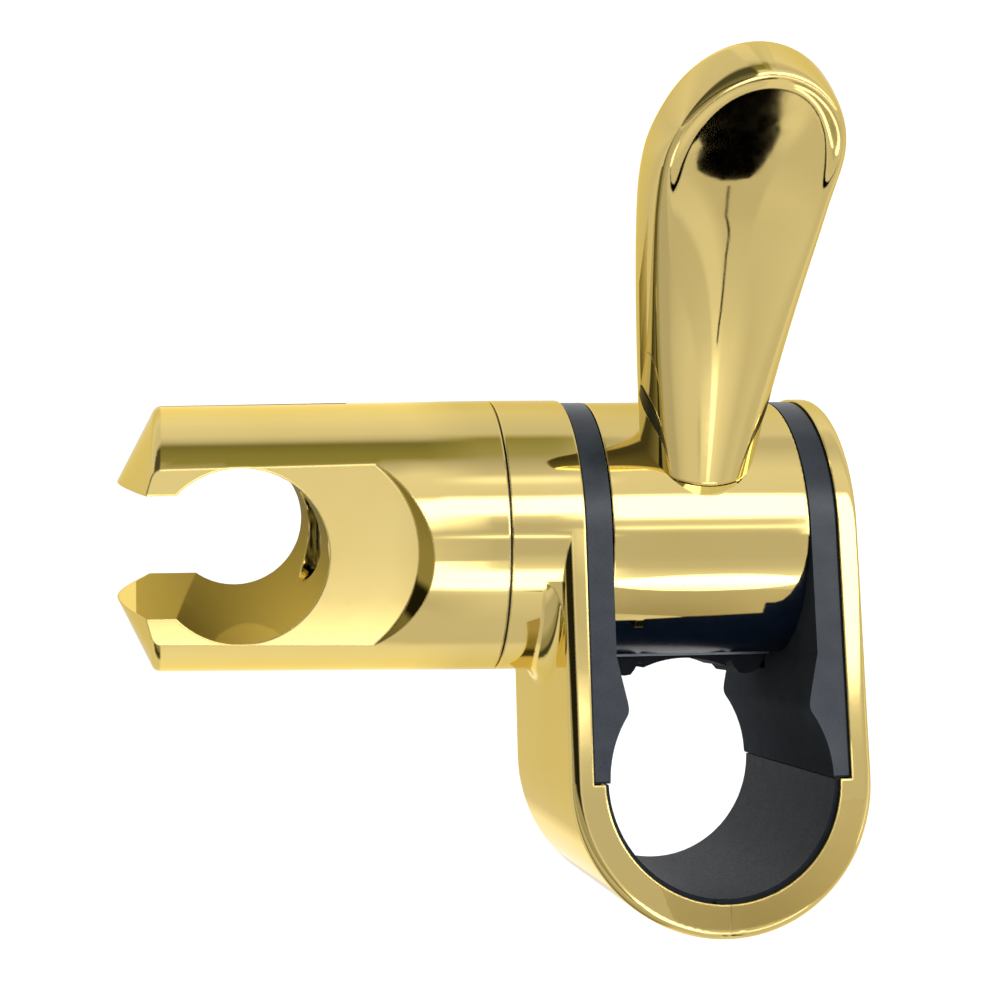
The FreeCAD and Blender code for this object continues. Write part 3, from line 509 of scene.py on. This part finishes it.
# Each column holds for directions whose X lies between its two values, and blends into the next.
# Its bands run along the barrel: an angle counted from +Z toward -Y in degrees, and a level.
SKY_COLUMNS = [
    (-1.0, -0.35, OLIVE, [
        (-180, 0.8), (-118, 1.0), (-100, 0.9), (-90, 0.78), (-74, 0.78), (-66, 0.88),
        (-60, 0.84), (-56, 0.8), (-53, 0.93), (-50, 1.1), (-47.5, 1.3), (-46, 4.0),
        (-43, 4.0), (-41, 1.2), (-33, 0.88), (-8, 0.72), (-5.2, 0.8), (-4, 1.05), (-3, 3.5),
        (-2, 4.0), (27, 4.0), (30, 1.01), (49, 1.05), (57, 0.95), (63, 0.86), (74, 0.75),
        (90, 0.85), (97, 1.04), (122, 0.95), (149, 0.85), (180, 0.8)]),
    (-0.344, -0.25, OLIVE, [
        (-180, 0.8), (-137, 0.95), (-112, 1.0), (-81, 1.0), (-75, 0.78), (-70, 0.74),
        (-60, 0.74), (-56, 0.8), (-52, 0.95), (-49.5, 1.2), (-47.5, 1.4), (-46, 4.0),
        (-43, 4.0), (-41, 1.3), (-36, 1.0), (-32, 0.8), (-24, 0.72), (-2, 0.72), (0.3, 1.0),
        (1.8, 2.4), (3.4, 1.0), (8, 1.0), (11, 4.0), (28, 4.0), (31, 1.0), (52, 1.04),
        (62, 0.93), (76, 0.72), (85, 0.72), (92, 0.92), (122, 0.93), (180, 0.8)]),
    (-0.212, -0.15, OLIVE, [
        (-180, 0.85), (-137, 0.96), (-110, 1.0), (-104, 0.79), (-79, 0.82), (-54, 0.98),
        (-50, 1.25), (-48, 4.0), (-34, 4.0), (-31, 1.3), (-27, 1.0), (-18, 0.71), (-7, 0.71),
        (-5.4, 1.0), (-4.2, 2.6), (-2.8, 0.9), (-1, 0.7), (6, 0.72), (10, 0.92), (13, 1.3),
        (15, 4.0), (27, 4.0), (30, 1.0), (39, 1.1), (44, 1.7), (49, 0.83), (60, 0.63),
        (68, 0.47), (86, 0.37), (92, 0.82), (123, 0.97), (180, 0.82)]),
    (-0.12, 0.04, OLIVE, [
        (-180, 1.2), (-150, 1.2), (-120, 1.15), (-110, 1.1), (-104, 0.8), (-79, 0.8),
        (-62, 0.72), (-56, 0.77), (-52, 0.86), (-50, 1.0), (-48.5, 1.4), (-47.5, 4.0),
        (-28.5, 4.0), (-27, 2.6), (-26.2, 1.4), (-25, 1.22), (-24, 1.1), (-22, 1.03),
        (-17, 1.0), (0, 0.9), (15, 4.0), (27, 4.0), (30, 1.05), (50, 1.1), (60, 0.7),
        (66, 0.36), (82, 0.24), (88, 0.75), (94, 0.95), (116, 1.11), (152, 1.2), (180, 1.2)]),
    (0.1, 1.0, PALE_OLIVE, [
        (-180, 0.8), (-165, 0.85), (-136, 0.95), (-131, 0.85), (-127, 0.1), (-119, 0.06),
        (-113, 0.38), (-104, 0.4), (-98, 0.48), (-90, 0.63), (-64, 0.62), (-60, 0.76),
        (-54, 0.92), (-50.5, 0.92), (-49, 0.4), (-44, 0.35), (-30, 0.5), (-16, 0.5),
        (-12, 0.02), (5, 0.02), (9, 0.35), (40, 0.2), (60, 0.1), (80, 0.1), (87, 0.85),
        (107, 0.87), (122, 1.0), (147, 0.85), (165, 0.92), (180, 0.8)]),
]


def sky_colour(level, dark_tint):
    """A level of light as a colour below 1; the darkest levels take the column's tint."""
    dark = clamp((DARK_BELOW - level) / (DARK_BELOW - DARK_FULL))
    tint = [1.0 - dark * (1.0 - part) for part in dark_tint]
    return opaque(level / SKY_TOP * part for part in tint)


def sky_ramp(tree, share, bands, dark_tint):
    """One column's bands over the share of a full turn."""
    ramp = add_node(tree, "ShaderNodeValToRGB")
    feed(tree, share, ramp.inputs["Fac"])
    stops = ramp.color_ramp.elements
    given_stops = len(stops)
    for index, (turned, level) in enumerate(bands):
        place = (turned + 180.0) / 360.0
        stop = stops[index] if index < given_stops else stops.new(place)
        stop.position = place
        stop.color = sky_colour(level, dark_tint)
    return ramp.outputs["Color"]


def make_sky():
    world = bpy.data.worlds.new("studio")
    bpy.context.scene.world = world
    world.use_nodes = True
    tree = world.node_tree
    tree.nodes.clear()
    place = separate(tree, coordinates(tree, "Generated"))
    forward = maths(tree, "MULTIPLY", place["Y"], -1.0)
    angle = maths(tree, "ARCTAN2", forward, place["Z"])
    share = spread(tree, angle, 0.0, 1.0, (-math.pi, math.pi))
    colour = last_end = None
    for start, end, dark_tint, bands in SKY_COLUMNS:
        column = sky_ramp(tree, share, bands, dark_tint)
        if colour is None:
            colour = column
        else:
            between = spread(tree, place["X"], 0.0, 1.0, (last_end, start))
            colour = mix(tree, "RGBA", between, colour, column)
        last_end = end
    ground = add_node(tree, "ShaderNodeBackground")
    feed(tree, SKY_TOP, ground.inputs["Strength"])
    feed(tree, colour, ground.inputs["Color"])
    out = add_node(tree, "ShaderNodeOutputWorld")
    feed(tree, ground.outputs[0], out.inputs["Surface"])


make_sky()


# Floor: pale, wide and kept out of every mirror

FLOOR_DROP = 0.16
FLOOR_HALF = 20.0
FLOOR_TONES = ((0.93, 0.93, 0.93), (0.95, 0.95, 0.95))
FLOOR_TONE_SCALE = 6.0


def make_floor():
    corners = [(x * FLOOR_HALF, y * FLOOR_HALF, -FLOOR_DROP)
               for x, y in ((-1, -1), (1, -1), (1, 1), (-1, 1))]
    mesh = bpy.data.meshes.new("floor")
    mesh.from_pydata(corners, [], [(0, 1, 2, 3)])
    floor = add_object("floor", mesh)
    material, tree, shader = new_material("pale_floor")
    feed(tree, 0.9, shader.inputs["Roughness"])
    feed(tree, 0.1, shader.inputs["Specular IOR Level"])
    tone = spread(tree, noise(tree, FLOOR_TONE_SCALE, detail=3.0), 0.0, 1.0)
    feed(tree, blend_colours(tree, tone, *FLOOR_TONES), shader.inputs["Base Color"])
    mesh.materials.append(material)
    floor.visible_glossy = False


make_floor()


# Lights, and the flags and cards that only reflections see. A plane is a centre and the two
# directions of its corners. Places and corners are in millimetres, the top panel and the lights'
# sizes in metres, and powers in watts.

PANEL_PLACE = Vector((0.3, -0.5, 1.2))
PANEL_SIZE = (1.2, 1.2)
PANEL_POWER = 6.0

BLACK = (0.0, 0.0, 0.0)
OLIVE_DARK = (0.06, 0.055, 0.025)
PALE = (0.98, 0.98, 0.98)

# The black patch on the lever's face and the thin crease line below it
LEVER_PLANE = ((-906.5, 2734.6, 609.2), (0.953, 0.297, 0.061), (0.0, 0.2, -0.98))
LEVER_FLAG = [(80, 220), (-20, 330), (-95, 300), (-100, 173), (-104, 120), (-103, -121),
              (-86, -326), (-49, -460), (17, -490), (84, -480), (141, -394), (172, -293),
              (150, -195), (95, -24), (90, 100)]
CREASE_FLAG = [(56, -555), (75, -751), (88, -963), (62, -1143), (108, -1194), (146, -1267),
               (206, -1370), (300, -1506), (235, -1500), (150, -1362), (105, -1262),
               (76, -1192), (34, -1142), (67, -964), (58, -752), (42, -556)]

# The tones that the socket's inner wall mirrors, darker over most of it than at its edge
BACK_PLANE = ((50.0, -42.0, -40.0), (1.0, 0.0, 0.0), (0.0, 1.0, 0.0))
BACK_FLAG = [(-14, -4), (16, -4), (16, 16), (-14, 16)]
BACK_TONES = ((0.1, 0.095, 0.05), (0.52, 0.49, 0.32))
EDGE_FLAG = [(-14, -16), (16, -16), (16, -4), (-14, -4)]
EDGE_TONES = ((0.24, 0.22, 0.13), (0.64, 0.6, 0.42))

# What the lever's shell mirrors low down: one pale card, and over it a long soft light
CARD_PLANE = ((-9.5, 9.5, 29.8), (0.951, 0.15, 0.27), (0.0, 0.485, -0.875))
SHELL_CARD = [(-14, -6.5), (14, -6.5), (14, 13), (-14, 13)]
LIGHT_PLACE = (-9.7, 2.5, 37.5)
LIGHT_AXES = ((0.951, 0.263, 0.164), (0.0, 0.53, -0.848), (-0.31, 0.806, 0.504))
LIGHT_SIZE = (0.0246, 0.0106)
LIGHT_POWER = 0.0015


def area_light(name, shape, size, power):
    data = bpy.data.lights.new(name, "AREA")
    data.shape = shape
    data.size, data.size_y = size
    data.energy = power
    lamp = add_object(name, data)
    lamp.rotation_mode = "QUATERNION"
    return lamp


def staged_flag(name, plane, corners, first, second=None):
    """A flag or card that only reflections see; its tone may change along the plane's first way."""
    centre, across, along = (Vector(part) for part in plane)
    points = [(centre + across * x + along * y) * MM for x, y in corners]
    mesh = bpy.data.meshes.new(name)
    mesh.from_pydata([tuple(point) for point in points], [], [tuple(range(len(points)))])
    flag = add_object(name, mesh)
    material, tree, shader = new_material(name)
    place = separate(tree, coordinates(tree, "Generated"))
    colour = blend_colours(tree, place["X"], first, second or first)
    feed(tree, colour, shader.inputs["Base Color"])
    feed(tree, 1.0, shader.inputs["Roughness"])
    feed(tree, 0.0, shader.inputs["Specular IOR Level"])
    mesh.materials.append(material)
    flag.visible_camera = False
    flag.visible_diffuse = False
    flag.visible_shadow = False


top_panel = area_light("top_panel", "RECTANGLE", PANEL_SIZE, PANEL_POWER)
top_panel.location = PANEL_PLACE
top_panel.rotation_quaternion = (-PANEL_PLACE).to_track_quat("-Z", "Y")
top_panel.visible_glossy = False
staged_flag("lever_flag", LEVER_PLANE, LEVER_FLAG, BLACK)
staged_flag("crease_flag", LEVER_PLANE, CREASE_FLAG, OLIVE_DARK)
staged_flag("back_flag", BACK_PLANE, BACK_FLAG, *BACK_TONES)
staged_flag("edge_flag", BACK_PLANE, EDGE_FLAG, *EDGE_TONES)
staged_flag("shell_card", CARD_PLANE, SHELL_CARD, PALE)
shell_light = area_light("shell_light", "ELLIPSE", LIGHT_SIZE, LIGHT_POWER)
shell_light.matrix_world = placed(LIGHT_PLACE, LIGHT_AXES)


# Camera: place, turn and lens fitted to the photo

CAMERA_PLACE = (58.97, -21.75, 205.47)
CAMERA_RIGHT = Vector((-0.994462, 0.015042, 0.104015))
CAMERA_UP = Vector((0.000146, -0.989507, 0.144486))
CAMERA_LENS = {"sensor_width": 36.0, "lens": 61.942, "shift_x": 0.1324, "shift_y": -0.1643,
               "clip_start": 0.01, "clip_end": 20.0}


def make_camera():
    data = bpy.data.cameras.new("camera")
    for name, value in CAMERA_LENS.items():
        setattr(data, name, value)
    camera = add_object("camera", data)
    camera.matrix_world = placed(
        CAMERA_PLACE, (CAMERA_RIGHT, CAMERA_UP, CAMERA_RIGHT.cross(CAMERA_UP)))
    bpy.context.scene.camera = camera


make_camera()
bpy.context.scene.view_settings.view_transform = "Standard"
